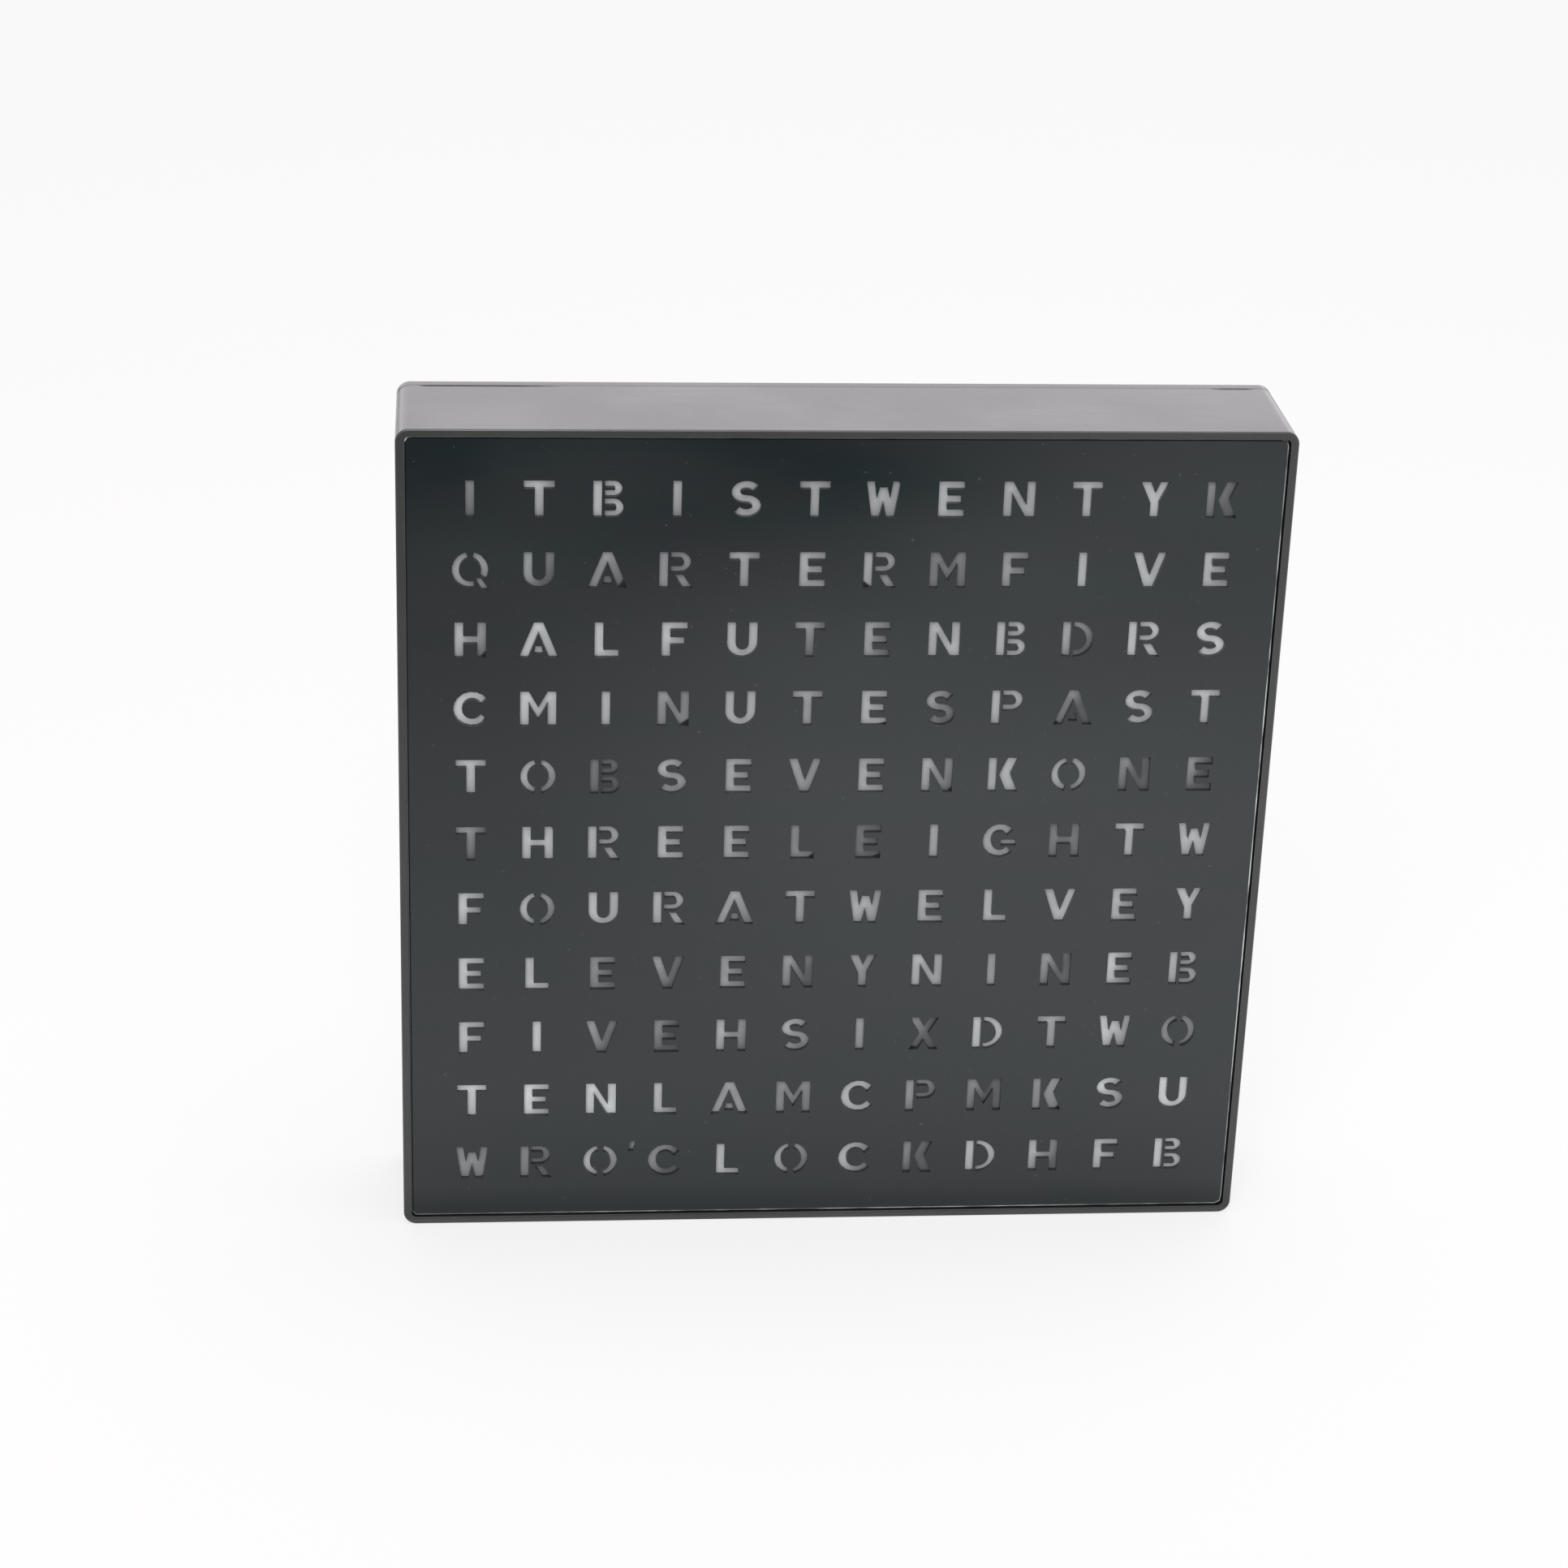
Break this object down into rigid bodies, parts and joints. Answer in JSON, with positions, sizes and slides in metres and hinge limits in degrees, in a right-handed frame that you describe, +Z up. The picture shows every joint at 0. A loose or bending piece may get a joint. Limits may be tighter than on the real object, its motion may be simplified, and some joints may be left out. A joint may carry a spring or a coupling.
{
  "type": "word clock",
  "caption": "Square black word clock with a letter panel over lit cells, a screwed rear cover with keyholes, two setting buttons and a power jack; it stands on its edge or hangs on a wall.",
  "frame": {"origin": "middle of the underside, on the surface that the clock stands on", "axes": "+X to the right as the face is read, +Y from the front to the back, +Z up"},
  "size_m": [0.197, 0.033, 0.197],
  "materials": {
    "case_plastic": "satin black moulded plastic",
    "panel_gloss": "polished dark plate",
    "film": "frosted light grey film",
    "baffle_white": "white moulded plastic",
    "white_board": "white solder mask on fibreglass",
    "green_board": "green solder mask on fibreglass",
    "led_body": "white package with a yellowish window",
    "chip_black": "black moulding compound with tinned leads",
    "resistor": "coated ceramic with tinned ends",
    "socket_cream": "natural nylon",
    "harness": "PVC insulated wire in nylon plugs",
    "steel": "zinc plated steel",
    "spring_steel": "bright stainless spring steel",
    "can": "drawn metal can",
    "black_screw": "black oxide steel",
    "jack_black": "black nylon",
    "jack_pin": "bright plated brass",
    "switch_black": "black nylon",
    "plunger": "dark grey acetal",
    "button_plastic": "satin black moulded plastic"
  },
  "bodies": {
    "clock": {"case_shell": "case_plastic", "rear_cover": "case_plastic", "letter_panel": "panel_gloss", "diffuser_sheet": "film", "light_baffle": "baffle_white", "led_board": "white_board", "control_board": "green_board", "word_leds": "led_body", "driver_chips": "chip_black", "microcontroller": "chip_black", "row_resistors": "resistor", "led_board_socket": "socket_cream", "control_socket": "socket_cream", "link_harness": "harness", "led_board_screws": "steel", "control_board_screws": "steel", "power_jack_spring": "steel", "hour_switch_frame": "steel", "minute_switch_frame": "steel", "hour_switch_dome": "spring_steel", "minute_switch_dome": "spring_steel", "clock_crystal": "can", "filter_capacitor": "can", "rear_cover_screws": "black_screw", "power_jack_body": "jack_black", "power_jack_pin": "jack_pin", "hour_switch_base": "switch_black", "minute_switch_base": "switch_black"},
    "hour_button": {"hour_button": "button_plastic", "hour_switch_plunger": "plunger"},
    "minute_button": {"minute_button": "button_plastic", "minute_switch_plunger": "plunger"}
  },
  "joints": [
    {"name": "hour_press", "type": "slide", "parent": "clock", "child": "hour_button", "axis": [0, -1, 0], "range_m": [0, 0.0005], "stiffness_N_per_m": 3000, "deforming": ["hour_switch_dome"]},
    {"name": "minute_press", "type": "slide", "parent": "clock", "child": "minute_button", "axis": [0, -1, 0], "range_m": [0, 0.0005], "stiffness_N_per_m": 3000, "deforming": ["minute_switch_dome"]}
  ]
}
